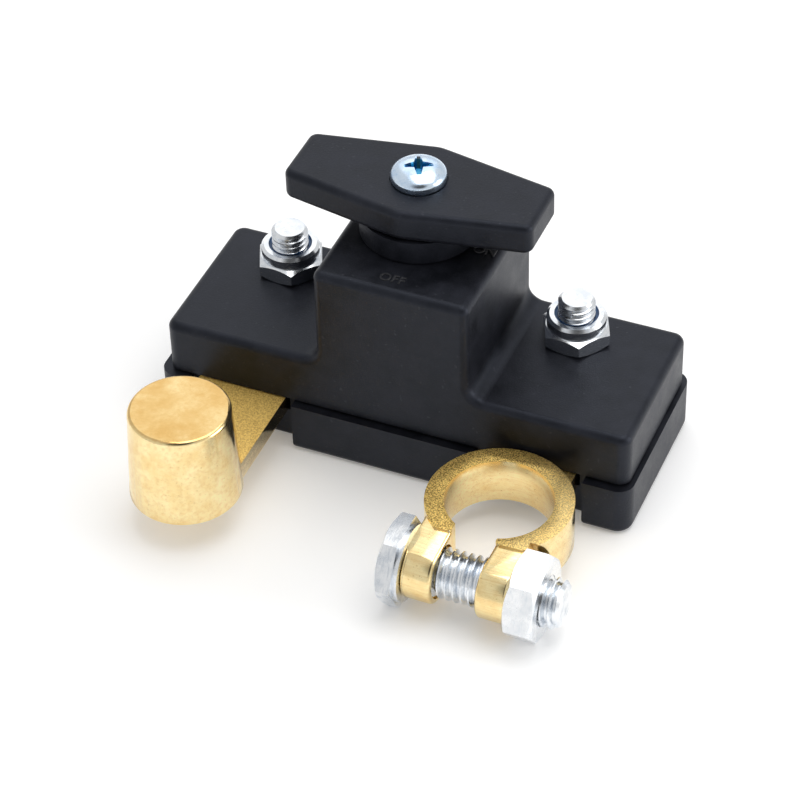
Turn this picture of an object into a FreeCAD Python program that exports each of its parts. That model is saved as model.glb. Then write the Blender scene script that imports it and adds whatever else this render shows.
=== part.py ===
import FreeCAD, Part
import os
import re

import Sketcher
from FreeCAD import Vector

# Battery cut-off switch
#
# A moulded housing carries two brass terminals: a tapered battery post on the left and a split
# battery clamp on the right. A turning handle joins them or parts them inside the tower.
# The origin is on the underside of the base, on the axis of the handle. X runs from the post
# to the clamp, Y runs from the terminals to the back of the housing, and Z is up.

doc = FreeCAD.newDocument("BatteryCutOffSwitch")
sizes = doc.addObject("Spreadsheet::Sheet", "Sizes")

DIMENSIONS = {
    # Housing: a base tray and a cover whose middle rises as a tower, with room round the drum
    "wing_length": 26.1,
    "left_room": 1.2,
    "right_room": 4.2,
    "front_room": 6.4,
    "back_room": 1.1,
    "cover_corner": 1.9,
    "cover_wall": 2.4,
    "wing_height": 9.1,
    "tower_height": 17.8,
    "roof": 2.4,
    "edge_round": 1.3,
    "step_round": 2.5,
    "seam": 0.5,
    "base_ledge": 1.2,
    "left_ledge": 1.3,
    "right_ledge": 0.7,
    "base_height": 9.0,
    "base_floor": 2.2,
    "base_wall": 2.0,
    "base_corner": 2.6,
    "base_foot_round": 1.3,
    "lip_height": 1.8,
    "slip": 0.3,
    # Terminal bars, which leave the front through notches in the base
    "stud_shift": 0.15,
    "stud_from_wall": 4.7,
    "bar_width": 15.0,
    "bar_drop": 3.0,
    "bar_thickness": 3.2,
    "bar_clear": 0.5,
    "notch_side": 1.5,
    "notch_depth": 2.4,
    # Studs with hexagon heads below and locking nuts above
    "stud_radius": 2.93,
    "stud_play": 0.2,
    "thread_shown": 3.1,
    "stud_chamfer": 0.7,
    "stud_head_flats": 10.0,
    "stud_head_height": 3.6,
    "stud_head_sunk": 0.5,
    "hex_play": 0.15,
    "pillar_radius": 7.0,
    "nut_flats": 10.0,
    "nut_turn": 54,
    "nut_hex_height": 2.8,
    "nut_height": 4.8,
    "hex_bevel": 0.2,
    "collar_radius": 4.7,
    "collar_mouth": 3.5,
    "collar_lip": 0.45,
    "insert_radius": 3.95,
    "insert_height": 1.2,
    "thread_play": 0.03,
    # Tapered battery post
    "post_reach": 20.8,
    "post_height": 16.0,
    "post_top_radius": 7.95,
    "post_foot_radius": 8.85,
    "post_round": 0.7,
    # Split battery clamp, whose ears stand a little to the left of its ring
    "clamp_shift": 0.3,
    "ear_shift": 0.8,
    "clamp_reach": 12.0,
    "clamp_drop": 2.0,
    "clamp_height": 8.0,
    "clamp_bore": 8.4,
    "clamp_radius": 11.4,
    "clamp_gap": 6.95,
    "ear_thickness": 4.9,
    "ear_radius": 5.1,
    "step_ahead": 0.6,
    "bolt_room": 0.37,
    "ear_step": 0.5,
    "bolt_radius": 3.93,
    "bolt_play": 0.3,
    "spot_play": 0.25,
    "bolt_flats": 12.8,
    "clamp_nut_turn": 8.5,
    "bolt_head": 2.8,
    "bolt_end": 2.8,
    "bolt_chamfer": 0.8,
    "bolt_nut": 4.8,
    "washer_radius": 6.1,
    "washer_thickness": 0.7,
    # Fixed contacts
    "strip_thickness": 1.2,
    "strip_inner": 4.2,
    "strip_outer": 6.5,
    "strip_front": 4.5,
    "button_x": 6.3,
    "button_radius": 1.9,
    "button_height": 0.8,
    # Turning parts
    "contact_gap": 0.3,
    "bridge_half": 7.9,
    "bridge_width": 6.0,
    "bridge_corner": 1.5,
    "bridge_thickness": 2.0,
    "drum_radius": 7.6,
    "drum_clear": 0.5,
    "slot_height": 5.4,
    "slot_play": 0.1,
    "stem_radius": 5.95,
    "running_play": 0.07,
    "sleeve_radius": 8.0,
    "sleeve_length": 8.4,
    "axial_play": 0.3,
    "drive_width": 7.4,
    "drive_height": 6.6,
    "drive_play": 0.1,
    "seal_wire": 0.7,
    "seal_depth_below": 3.4,
    "spring_radius": 2.3,
    "spring_wire": 0.4,
    "spring_turns": 3,
    # Handle and its screw
    "hub_radius": 9.4,
    "hub_height": 3.8,
    "grip_thickness": 5.2,
    "grip_half": 20.3,
    "grip_end": 5.5,
    "grip_middle": 9.3,
    "grip_corner": 1.6,
    "grip_nose": 5.0,
    "grip_round": 1.1,
    "screw_head_radius": 4.4,
    "screw_head_height": 3.2,
    "screw_rim": 1.9,
    "screw_crown": 2.4,
    "screw_round": 0.8,
    "screw_seat": 0.4,
    "screw_radius": 1.95,
    "screw_length": 12.0,
    "screw_point": 1.2,
    "recess_length": 4.2,
    "recess_width": 1.0,
    "recess_depth": 1.3,
}

for row, (name, number) in enumerate(DIMENSIONS.items(), start=1):
    sizes.set(f"A{row}", name)
    sizes.set(f"B{row}", str(number))
    sizes.setAlias(f"B{row}", name)
doc.recompute()

# Levels and places that several pieces share, worked out from the sizes above
TOWER_LEFT = "(drum_radius + left_room + cover_wall)"
TOWER_RIGHT = "(drum_radius + right_room + cover_wall)"
FRONT = "(drum_radius + front_room + cover_wall)"
BACK = "(drum_radius + back_room + cover_wall)"
MID_X = f"(({TOWER_RIGHT} - {TOWER_LEFT}) / 2)"
MID_Y = f"(({BACK} - {FRONT}) / 2)"
TOWER_HALF = f"(({TOWER_LEFT} + {TOWER_RIGHT}) / 2)"
COVER_HALF = f"({TOWER_HALF} + wing_length)"
COVER_DEEP = f"(({BACK} + {FRONT}) / 2)"
TRAY_HALF = f"({COVER_HALF} + (left_ledge + right_ledge) / 2)"
TRAY_MID = f"({MID_X} + (right_ledge - left_ledge) / 2)"
TRAY_DEEP = f"({COVER_DEEP} + base_ledge)"
COVER_BOTTOM = "(base_height + seam)"
WING_TOP = f"({COVER_BOTTOM} + wing_height)"
TOWER_TOP = f"({WING_TOP} + tower_height)"
STUD_X = f"({TOWER_LEFT} + wing_length / 2 + stud_shift)"
STUD_Y = f"({BACK} - cover_wall - stud_from_wall)"
STUD_TOP = f"({WING_TOP} + nut_height + thread_shown)"
BAR_BOTTOM = "(base_height - bar_drop)"
BAR_TOP = f"({BAR_BOTTOM} + bar_thickness)"
BAR_BACK = f"({BACK} - cover_wall - bar_clear)"
NOTCH_HALF = "(bar_width / 2 + notch_side)"
POST_Y = f"(-{FRONT} - post_reach)"
CLAMP_X = f"({STUD_X} - clamp_shift)"
CLAMP_Y = f"(-{FRONT} - clamp_reach)"
CLAMP_BOTTOM = f"({BAR_BOTTOM} - clamp_drop)"
EAR_X = f"({CLAMP_X} - ear_shift)"
EAR_STEP_Y = f"({CLAMP_Y} - clamp_bore - step_ahead)"
EAR_OUTSIDE = "(clamp_gap / 2 + ear_thickness)"
BOLT_Y = f"({CLAMP_Y} - clamp_bore - bolt_room - bolt_radius)"
BOLT_Z = f"({CLAMP_BOTTOM} + clamp_height - ear_radius)"
STRIP_TOP = f"({BAR_TOP} + strip_thickness)"
BRIDGE_BOTTOM = f"({STRIP_TOP} + button_height + contact_gap)"
BRIDGE_TOP = f"({BRIDGE_BOTTOM} + bridge_thickness)"
DRUM_BOTTOM = f"({BRIDGE_BOTTOM} + drum_clear)"
SLOT_TOP = f"({BRIDGE_TOP} + slot_height)"
SLEEVE_BOTTOM = f"({TOWER_TOP} - roof - sleeve_length)"
DRUM_TOP = f"({SLEEVE_BOTTOM} - axial_play)"
HUB_BOTTOM = f"({TOWER_TOP} + axial_play)"
GRIP_BOTTOM = f"({HUB_BOTTOM} + hub_height)"
GRIP_TOP = f"({GRIP_BOTTOM} + grip_thickness)"
SCREW_SEAT = f"({GRIP_TOP} - screw_seat)"
SIDES = {"left": "-1", "right": "1"}


# Sketches and features

def tie(text):
    """Name the sheet before each size in an expression."""
    return re.sub(r"\b[a-z]\w*\b(?!\s*\()", r"Sizes.\g<0>", text)


def value(text):
    """The number that an expression gives now."""
    result = sizes.evalExpression(tie(text))
    return float(getattr(result, "Value", result))


def new_body(label):
    """One real piece of the switch."""
    body = doc.addObject("PartDesign::Body", label)
    body.Label = label
    return body


def sketch_on(body, plane, x="0", y="0", lift="0"):
    """A sketch on one of the body's own origin planes, moved along and off that plane."""
    sketch = body.newObject("Sketcher::SketchObject", body.Name + "_sketch")
    support = next(item for item in body.Origin.OriginFeatures if item.Role == plane)
    sketch.AttachmentSupport = (support, [""])
    sketch.MapMode = "FlatFace"
    sketch.setExpression("AttachmentOffset.Base.x", tie(x))
    sketch.setExpression("AttachmentOffset.Base.y", tie(y))
    sketch.setExpression("AttachmentOffset.Base.z", tie(lift))
    return sketch


def bind(sketch, kind, text, *references):
    """Add a dimension to a sketch and tie it to the sheet."""
    index = sketch.addConstraint(Sketcher.Constraint(kind, *references, value(text)))
    sketch.setExpression(f"Constraints[{index}]", tie(text))


def outline(sketch, corners):
    """A closed outline of straight edges, each corner tied to the sheet."""
    points = [Vector(value(x), value(y), 0) for x, y in corners]
    first = sketch.GeometryCount
    count = len(points)
    for index, point in enumerate(points):
        sketch.addGeometry(Part.LineSegment(point, points[(index + 1) % count]), False)
    for index, (x, y) in enumerate(corners):
        following = first + (index + 1) % count
        sketch.addConstraint(Sketcher.Constraint("Coincident", first + index, 2, following, 1))
        bind(sketch, "DistanceX", x, -1, 1, first + index, 1)
        bind(sketch, "DistanceY", y, -1, 1, first + index, 1)


def rectangle(sketch, mid_x, mid_y, half_x, half_y):
    """A rectangle given by its middle and its half sizes."""
    left, right = f"{mid_x} - {half_x}", f"{mid_x} + {half_x}"
    front, back = f"{mid_y} - {half_y}", f"{mid_y} + {half_y}"
    outline(sketch, [(left, front), (right, front), (right, back), (left, back)])


def circle(sketch, x, y, radius):
    """A circle with its centre and radius tied to the sheet."""
    centre = Vector(value(x), value(y), 0)
    index = sketch.addGeometry(Part.Circle(centre, Vector(0, 0, 1), value(radius)), False)
    bind(sketch, "DistanceX", x, -1, 1, index, 3)
    bind(sketch, "DistanceY", y, -1, 1, index, 3)
    bind(sketch, "Radius", radius, index)


def hexagon(sketch, x, y, flats, turn="0"):
    """A hexagon given by its width across flats, a corner at the given angle."""
    angles = [f"{turn} + {60 * corner}" for corner in range(6)]
    reach = f"{flats} / (2 * cos(30))"
    outline(sketch, [(f"{x} + {reach} * cos({a})", f"{y} + {reach} * sin({a})") for a in angles])


def extrude(sketch, length, cut=False, other_way=False):
    """Pad a sketch along its normal, or cut it out against its normal."""
    body = sketch.getParentGeoFeatureGroup()
    before = body.Shape.Volume if body.Tip else 0
    kind = "Pocket" if cut else "Pad"
    feature = body.newObject("PartDesign::" + kind, f"{body.Name}_{kind}")
    feature.Profile = sketch
    feature.setExpression("Length", tie(length))
    feature.Reversed = other_way
    return finish(feature, before, cut)


def turn_about(sketch, cut=False, axis="V_Axis"):
    """Turn a sketch once about one of its own axes, as added or removed material."""
    body = sketch.getParentGeoFeatureGroup()
    before = body.Shape.Volume if body.Tip else 0
    kind = "Groove" if cut else "Revolution"
    feature = body.newObject("PartDesign::" + kind, f"{body.Name}_{kind}")
    feature.Profile = sketch
    feature.ReferenceAxis = (sketch, [axis])
    feature.Angle = 360
    return finish(feature, before, cut)


def finish(feature, before, cut):
    """Recompute a feature and make sure that it added or removed material."""
    doc.recompute()
    change = feature.Shape.Volume - before
    if (change > -1e-6) if cut else (change < 1e-6):
        raise ValueError(f"{feature.Name} changes nothing")
    return feature


def soften(feature, radius, chosen, kind="Fillet"):
    """Round or chamfer the chosen edges of a feature."""
    body = feature.getParentGeoFeatureGroup()
    edges = feature.Shape.Edges
    names = [f"Edge{number}" for number, edge in enumerate(edges, start=1) if chosen(edge)]
    softened = body.newObject("PartDesign::" + kind, f"{body.Name}_{kind}")
    softened.Base = (feature, names)
    softened.setExpression("Radius" if kind == "Fillet" else "Size", tie(radius))
    doc.recompute()
    return softened


def is_upright(edge):
    """A straight edge along Z."""
    box = edge.BoundBox
    return box.XLength < 1e-4 and box.YLength < 1e-4 and box.ZLength > 1e-4


def near(number, text, within=0.01):
    """Whether a coordinate lies at the place that an expression gives."""
    return abs(number - value(text)) < within


# Base tray

def make_base_tray():
    """A shallow tray with two front notches for the bars and two pillars for the studs."""
    body = new_body("base_tray")
    left, right = f"{TRAY_MID} - {TRAY_HALF}", f"{TRAY_MID} + {TRAY_HALF}"
    front, back = f"{MID_Y} - {TRAY_DEEP}", f"{MID_Y} + {TRAY_DEEP}"

    def notched(inset, widen):
        """The tray's plan outline, drawn in by a distance, with both front notches."""
        edge, recess = f"{front} + {inset}", f"{front} + notch_depth + {inset}"
        corners = [(f"{left} + {inset}", edge)]
        for side in SIDES.values():
            middle = f"{side} * {STUD_X}"
            start, end = f"{middle} - {NOTCH_HALF} - {widen}", f"{middle} + {NOTCH_HALF} + {widen}"
            corners += [(start, edge), (start, recess), (end, recess), (end, edge)]
        corners += [(f"{right} - {inset}", edge), (f"{right} - {inset}", f"{back} - {inset}")]
        return corners + [(f"{left} + {inset}", f"{back} - {inset}")]

    plan = sketch_on(body, "XY_Plane")
    outline(plan, notched("0", "0"))
    block = extrude(plan, "base_height")

    def outer_corner(edge):
        middle = edge.CenterOfMass
        on_end = near(middle.x, left) or near(middle.x, right)
        return is_upright(edge) and on_end

    rounded = soften(block, "base_corner", outer_corner)
    soften(rounded, "base_foot_round", lambda edge: near(edge.BoundBox.ZMax, "0"))

    hollow = sketch_on(body, "XY_Plane", lift="base_height")
    outline(hollow, notched("base_wall", "base_wall"))
    extrude(hollow, "base_height - base_floor", cut=True)

    pillars = sketch_on(body, "XY_Plane")
    for side in SIDES.values():
        circle(pillars, f"{side} * {STUD_X}", STUD_Y, "pillar_radius")
    extrude(pillars, BAR_BOTTOM)

    # Slots that let the bars through the recessed front wall
    slots = sketch_on(body, "XY_Plane", lift="base_height")
    slot_mid = f"{front} + notch_depth"
    for side in SIDES.values():
        rectangle(slots, f"{side} * {STUD_X}", slot_mid, "(bar_width / 2 + slip)", "base_wall * 2")
    extrude(slots, f"base_height - {BAR_BOTTOM}", cut=True)

    # Hexagon pockets that keep the stud heads from turning, and the stud holes
    pockets = sketch_on(body, "XY_Plane")
    for side in SIDES.values():
        hexagon(pockets, f"{side} * {STUD_X}", STUD_Y, "(stud_head_flats + 2 * hex_play)")
    extrude(pockets, "stud_head_sunk + stud_head_height", cut=True, other_way=True)

    holes = sketch_on(body, "XY_Plane")
    for side in SIDES.values():
        circle(holes, f"{side} * {STUD_X}", STUD_Y, "stud_radius + stud_play")
    extrude(holes, "base_height", cut=True, other_way=True)


# Cover

def make_cover():
    """The moulded cover: two wings, the tower, a sleeve for the stem and bosses for the studs."""
    body = new_body("cover")
    half_depth = COVER_DEEP
    wings = sketch_on(body, "XY_Plane", lift=COVER_BOTTOM)
    rectangle(wings, MID_X, MID_Y, COVER_HALF, half_depth)
    block = extrude(wings, f"{WING_TOP} - {COVER_BOTTOM}")
    soften(block, "cover_corner", is_upright)

    tower = sketch_on(body, "XY_Plane", lift=COVER_BOTTOM)
    rectangle(tower, MID_X, MID_Y, TOWER_HALF, half_depth)
    joined = extrude(tower, f"{TOWER_TOP} - {COVER_BOTTOM}")

    def foot_of_tower(edge):
        middle = edge.CenterOfMass
        on_side = near(abs(middle.x - value(MID_X)), TOWER_HALF)
        return on_side and near(middle.z, WING_TOP)

    stepped = soften(joined, "step_round", foot_of_tower)

    def outer_edge(edge):
        """The top edges, the tower's upright edges and the rounds at its foot."""
        middle = edge.CenterOfMass
        box = edge.BoundBox
        high = near(box.ZMin, WING_TOP) or near(box.ZMin, TOWER_TOP)
        on_face = near(abs(middle.y - value(MID_Y)), half_depth)
        in_tower = abs(middle.x - value(MID_X)) < value(f"{COVER_HALF} - cover_corner")
        standing = on_face and in_tower and box.ZLength > 1 and middle.z > value(WING_TOP)
        across = high and near(middle.y, MID_Y) and in_tower and not near(box.ZMin, TOWER_TOP)
        return (high or standing) and not across

    soften(stepped, "edge_round", outer_edge)

    inside = sketch_on(body, "XY_Plane", lift=COVER_BOTTOM)
    inner_depth = f"({COVER_DEEP} - cover_wall)"
    rectangle(inside, MID_X, MID_Y, f"({COVER_HALF} - cover_wall)", inner_depth)
    extrude(inside, f"{WING_TOP} - roof - {COVER_BOTTOM}", cut=True, other_way=True)

    chimney = sketch_on(body, "XY_Plane", lift=COVER_BOTTOM)
    rectangle(chimney, MID_X, MID_Y, f"({TOWER_HALF} - cover_wall)", inner_depth)
    extrude(chimney, f"{TOWER_TOP} - roof - {COVER_BOTTOM}", cut=True, other_way=True)

    sleeve = sketch_on(body, "XY_Plane", lift=SLEEVE_BOTTOM)
    circle(sleeve, "0", "0", "sleeve_radius")
    extrude(sleeve, "sleeve_length + roof / 2")

    bosses = sketch_on(body, "XY_Plane", lift=STRIP_TOP)
    for side in SIDES.values():
        circle(bosses, f"{side} * {STUD_X}", STUD_Y, "strip_outer")
    extrude(bosses, f"{WING_TOP} - roof / 2 - {STRIP_TOP}")

    # A lip that drops inside the tray, open where the bars and the recessed walls pass
    lip = sketch_on(body, "XY_Plane", lift=COVER_BOTTOM)
    tray_x = f"({TRAY_HALF} - base_wall - slip)"
    tray_y = f"({TRAY_DEEP} - base_wall - slip)"
    rectangle(lip, TRAY_MID, MID_Y, tray_x, tray_y)
    rectangle(lip, MID_X, MID_Y, f"({COVER_HALF} - cover_wall)", inner_depth)
    dropped = extrude(lip, "seam + lip_height", other_way=True)

    def lip_corner(edge):
        on_outside = near(abs(edge.CenterOfMass.y - value(MID_Y)), tray_y)
        return is_upright(edge) and near(edge.BoundBox.ZMax, COVER_BOTTOM) and on_outside

    soften(dropped, "base_corner - base_wall", lip_corner)

    gaps = sketch_on(body, "XY_Plane", lift=COVER_BOTTOM)
    gap_half = f"({NOTCH_HALF} + base_wall + slip)"
    for side in SIDES.values():
        rectangle(gaps, f"{side} * {STUD_X}", f"{MID_Y} - {tray_y}", gap_half, "cover_wall * 2")
    extrude(gaps, "seam + lip_height", cut=True)

    holes = sketch_on(body, "XY_Plane", lift=STRIP_TOP)
    for side in SIDES.values():
        circle(holes, f"{side} * {STUD_X}", STUD_Y, "stud_radius + stud_play")
    extrude(holes, f"{WING_TOP} - {STRIP_TOP}", cut=True, other_way=True)

    bore = sketch_on(body, "XY_Plane", lift=SLEEVE_BOTTOM)
    circle(bore, "0", "0", "stem_radius + running_play")
    extrude(bore, f"{TOWER_TOP} - {SLEEVE_BOTTOM}", cut=True, other_way=True)


# Brass terminals

def add_bar(body, side, front):
    """The flat bar from inside the housing to a terminal, with its stud hole."""
    plan = sketch_on(body, "XY_Plane", lift=BAR_BOTTOM)
    middle = f"{side} * {STUD_X}"
    left, right = f"{middle} - bar_width / 2", f"{middle} + bar_width / 2"
    back = BAR_BACK
    outline(plan, [(left, front), (right, front), (right, back), (left, back)])
    circle(plan, middle, STUD_Y, "stud_radius + stud_play")
    return extrude(plan, "bar_thickness")


def make_post_terminal():
    """The tapered battery post, cast in one piece with its bar."""
    body = new_body("post_terminal")
    side = SIDES["left"]
    add_bar(body, side, POST_Y)
    profile = sketch_on(body, "XZ_Plane", x=f"{side} * {STUD_X}", lift=f"-{POST_Y}")
    top = f"{BAR_BOTTOM} + post_height"
    outline(profile, [("0", BAR_BOTTOM), ("post_foot_radius", BAR_BOTTOM),
                      ("post_top_radius", top), ("0", top)])
    post = turn_about(profile)
    soften(post, "post_round", lambda edge: near(edge.BoundBox.ZMin, top))


def make_clamp_terminal():
    """The split ring with its two ears, cast in one piece with its bar."""
    body = new_body("clamp_terminal")
    add_bar(body, SIDES["right"], CLAMP_Y)

    ring = sketch_on(body, "XY_Plane", lift=CLAMP_BOTTOM)
    circle(ring, CLAMP_X, CLAMP_Y, "clamp_radius")
    extrude(ring, "clamp_height")

    def in_front(level):
        """A sketch at a level that covers all in front of the line where the ears start."""
        sketch = sketch_on(body, "XY_Plane", lift=level)
        reach = "(clamp_radius + ear_radius)"
        left, right, beyond = f"{CLAMP_X} - {reach}", f"{CLAMP_X} + {reach}", f"{CLAMP_Y} - 2 * {reach}"
        outline(sketch, [(left, EAR_STEP_Y), (left, beyond), (right, beyond), (right, EAR_STEP_Y)])
        return sketch

    ring_top = f"{CLAMP_BOTTOM} + clamp_height"
    extrude(in_front(ring_top), "clamp_height", cut=True)

    # Both ears as one block that reaches below the ring only in front of its bore
    ears = sketch_on(body, "YZ_Plane", lift=f"{EAR_X} - {EAR_OUTSIDE}")
    root = f"{EAR_STEP_Y} + ear_thickness"
    low, high = f"{BOLT_Z} - ear_radius", f"{ring_top} - ear_step"
    outline(ears, [(root, CLAMP_BOTTOM), (root, high), (BOLT_Y, high), (BOLT_Y, low),
                   (EAR_STEP_Y, CLAMP_BOTTOM)])
    extrude(ears, f"2 * {EAR_OUTSIDE}")
    ends = sketch_on(body, "YZ_Plane", lift=f"{EAR_X} - {EAR_OUTSIDE}")
    circle(ends, BOLT_Y, BOLT_Z, "ear_radius")
    extrude(ends, f"2 * {EAR_OUTSIDE}")
    extrude(in_front(high), "ear_radius", cut=True, other_way=True)

    through = f"{ring_top} + {BOLT_Z}"
    bore = sketch_on(body, "XY_Plane", lift=ring_top)
    circle(bore, CLAMP_X, CLAMP_Y, "clamp_bore")
    extrude(bore, through, cut=True)

    split = sketch_on(body, "XY_Plane", lift=ring_top)
    left, right = f"{EAR_X} - clamp_gap / 2", f"{EAR_X} + clamp_gap / 2"
    beyond = f"{BOLT_Y} - 2 * ear_radius"
    outline(split, [(left, CLAMP_Y), (right, CLAMP_Y), (right, beyond), (left, beyond)])
    extrude(split, through, cut=True)

    hole = sketch_on(body, "YZ_Plane", lift=f"{EAR_X} + {EAR_OUTSIDE}")
    circle(hole, BOLT_Y, BOLT_Z, "bolt_radius + bolt_play")
    extrude(hole, f"2 * {EAR_OUTSIDE}", cut=True)

    # Round seats cut into the ring's outside, where the bolt's head and the nut turn
    for side in SIDES.values():
        seat = sketch_on(body, "YZ_Plane", lift=f"{EAR_X} + {side} * {EAR_OUTSIDE}")
        circle(seat, BOLT_Y, BOLT_Z, "bolt_flats / (2 * cos(30)) + spot_play")
        extrude(seat, "clamp_radius", cut=True, other_way=side == SIDES["right"])


# Fasteners

def make_stud(name, side):
    """A hexagon-head stud bolt that clamps tray, bar, contact strip and cover together."""
    body = new_body(f"stud_bolt_{name}")
    middle = f"{side} * {STUD_X}"
    head = sketch_on(body, "XY_Plane", lift="stud_head_sunk")
    hexagon(head, middle, STUD_Y, "stud_head_flats")
    extrude(head, "stud_head_height")
    shank = sketch_on(body, "XY_Plane", lift="stud_head_sunk")
    circle(shank, middle, STUD_Y, "stud_radius")
    whole = extrude(shank, f"{STUD_TOP} - stud_head_sunk")
    soften(whole, "stud_chamfer", lambda edge: near(edge.BoundBox.ZMin, STUD_TOP), "Chamfer")


def chamfer_profile(flats, face, inwards):
    """The wedge outside a 30 degree chamfer that takes a hexagon's corners off at one face."""
    rim = f"({flats} / 2 - hex_bevel)"
    return [(rim, face), (flats, face), (flats, f"{face} {inwards} ({flats} - {rim}) * tan(30)")]


def chamfer_across(body, face, inwards):
    """Take the corners off the clamp bolt's head or nut at one face."""
    wedge = sketch_on(body, "XY_Plane", y=BOLT_Y, lift=BOLT_Z)
    outline(wedge, [(x, y) for y, x in chamfer_profile("bolt_flats", face, inwards)])
    turn_about(wedge, cut=True, axis="H_Axis")


def make_stud_nut(name, side):
    """A locking nut: hexagon below, a crimped collar above that holds a nylon ring."""
    body = new_body(f"stud_nut_{name}")
    middle = f"{side} * {STUD_X}"
    hexagonal = sketch_on(body, "XY_Plane", lift=WING_TOP)
    hexagon(hexagonal, middle, STUD_Y, "nut_flats", turn="nut_turn")
    extrude(hexagonal, "nut_hex_height")
    for face, inwards in ((f"({WING_TOP} + nut_hex_height)", "-"), (WING_TOP, "+")):
        wedge = sketch_on(body, "XZ_Plane", x=middle, lift=f"-{STUD_Y}")
        outline(wedge, chamfer_profile("nut_flats", face, inwards))
        turn_about(wedge, cut=True)

    collar = sketch_on(body, "XZ_Plane", x=middle, lift=f"-{STUD_Y}")
    foot = f"{WING_TOP} + nut_hex_height / 2"
    shoulder, top = f"{WING_TOP} + nut_height - collar_lip", f"{WING_TOP} + nut_height"
    outline(collar, [("collar_mouth", foot), ("collar_radius", foot), ("collar_radius", shoulder),
                     ("collar_radius - collar_lip", top), ("collar_mouth", top)])
    turn_about(collar)
    pocket = sketch_on(body, "XY_Plane", lift=shoulder)
    circle(pocket, middle, STUD_Y, "insert_radius")
    extrude(pocket, "insert_height", cut=True)

    thread = sketch_on(body, "XY_Plane", lift=WING_TOP)
    circle(thread, middle, STUD_Y, "stud_radius + thread_play")
    extrude(thread, "nut_height", cut=True, other_way=True)


def make_nut_insert(name, side):
    """The nylon ring under a nut's collar."""
    body = new_body(f"nut_insert_{name}")
    ring = sketch_on(body, "XY_Plane", lift=f"{WING_TOP} + nut_height - collar_lip - insert_height")
    middle = f"{side} * {STUD_X}"
    circle(ring, middle, STUD_Y, "insert_radius")
    circle(ring, middle, STUD_Y, "stud_radius + thread_play")
    extrude(ring, "insert_height")


def make_clamp_bolt():
    """The hexagon bolt that draws the clamp's ears together, its head on the left."""
    body = new_body("clamp_bolt")
    seat = f"{EAR_X} - {EAR_OUTSIDE} - washer_thickness"
    head = sketch_on(body, "YZ_Plane", lift=f"{seat} - bolt_head")
    hexagon(head, BOLT_Y, BOLT_Z, "bolt_flats")
    extrude(head, "bolt_head")
    chamfer_across(body, f"({seat} - bolt_head)", "+")
    shank = sketch_on(body, "YZ_Plane", lift=seat)
    circle(shank, BOLT_Y, BOLT_Z, "bolt_radius")
    length = f"washer_thickness + 2 * {EAR_OUTSIDE} + bolt_nut + bolt_end"
    whole = extrude(shank, length)
    end = f"{seat} + {length}"
    soften(whole, "bolt_chamfer", lambda edge: near(edge.BoundBox.XMin, end), "Chamfer")


def make_clamp_nut():
    """The plain hexagon nut on the right ear."""
    body = new_body("clamp_nut")
    outside = f"{EAR_X} + {EAR_OUTSIDE}"
    block = sketch_on(body, "YZ_Plane", lift=outside)
    hexagon(block, BOLT_Y, BOLT_Z, "bolt_flats", turn="clamp_nut_turn")
    circle(block, BOLT_Y, BOLT_Z, "bolt_radius + thread_play")
    extrude(block, "bolt_nut")
    chamfer_across(body, f"({outside})", "+")
    chamfer_across(body, f"({outside} + bolt_nut)", "-")


def make_clamp_washer():
    """The plain washer under the bolt's head."""
    body = new_body("clamp_washer")
    disc = sketch_on(body, "YZ_Plane", lift=f"{EAR_X} - {EAR_OUTSIDE} - washer_thickness")
    circle(disc, BOLT_Y, BOLT_Z, "washer_radius")
    circle(disc, BOLT_Y, BOLT_Z, "bolt_radius + bolt_play")
    extrude(disc, "washer_thickness")


# Contacts

def make_fixed_contact(name, side):
    """A copper strip clamped on the bar by the stud, with a contact button at its inner end."""
    body = new_body(f"fixed_contact_{name}")
    middle = f"{side} * {STUD_X}"
    inner, outer = f"{side} * strip_inner", f"{side} * ({STUD_X} + strip_outer)"
    plan = sketch_on(body, "XY_Plane", lift=BAR_TOP)
    front, back = "-strip_front", BAR_BACK
    outline(plan, [(inner, front), (outer, front), (outer, back), (inner, back)])
    circle(plan, middle, STUD_Y, "stud_radius + stud_play")
    extrude(plan, "strip_thickness")
    button = sketch_on(body, "XY_Plane", lift=BAR_TOP)
    circle(button, f"{side} * button_x", "0", "button_radius")
    extrude(button, "strip_thickness + button_height")


def make_contact_bridge():
    """The copper bar that joins both buttons when the switch is on."""
    body = new_body("contact_bridge")
    plan = sketch_on(body, "XY_Plane", lift=BRIDGE_BOTTOM)
    rectangle(plan, "0", "0", "bridge_half", "bridge_width / 2")
    bar = extrude(plan, "bridge_thickness")
    soften(bar, "bridge_corner", is_upright)


def make_contact_spring():
    """The coil spring of square wire that presses the bridge down inside the drum."""
    body = new_body("contact_spring")
    wire = sketch_on(body, "XZ_Plane")
    height = "(slot_height - 2 * spring_wire)"
    rectangle(wire, "spring_radius", f"({BRIDGE_TOP} + spring_wire)", "spring_wire", "spring_wire")
    coil = body.newObject("PartDesign::AdditiveHelix", "contact_spring_coil")
    coil.Profile = wire
    coil.ReferenceAxis = (wire, ["V_Axis"])
    coil.Mode = "height-turns-angle"
    coil.setExpression("Height", tie(height))
    coil.setExpression("Turns", tie("spring_turns"))
    doc.recompute()


# Turning parts

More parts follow.
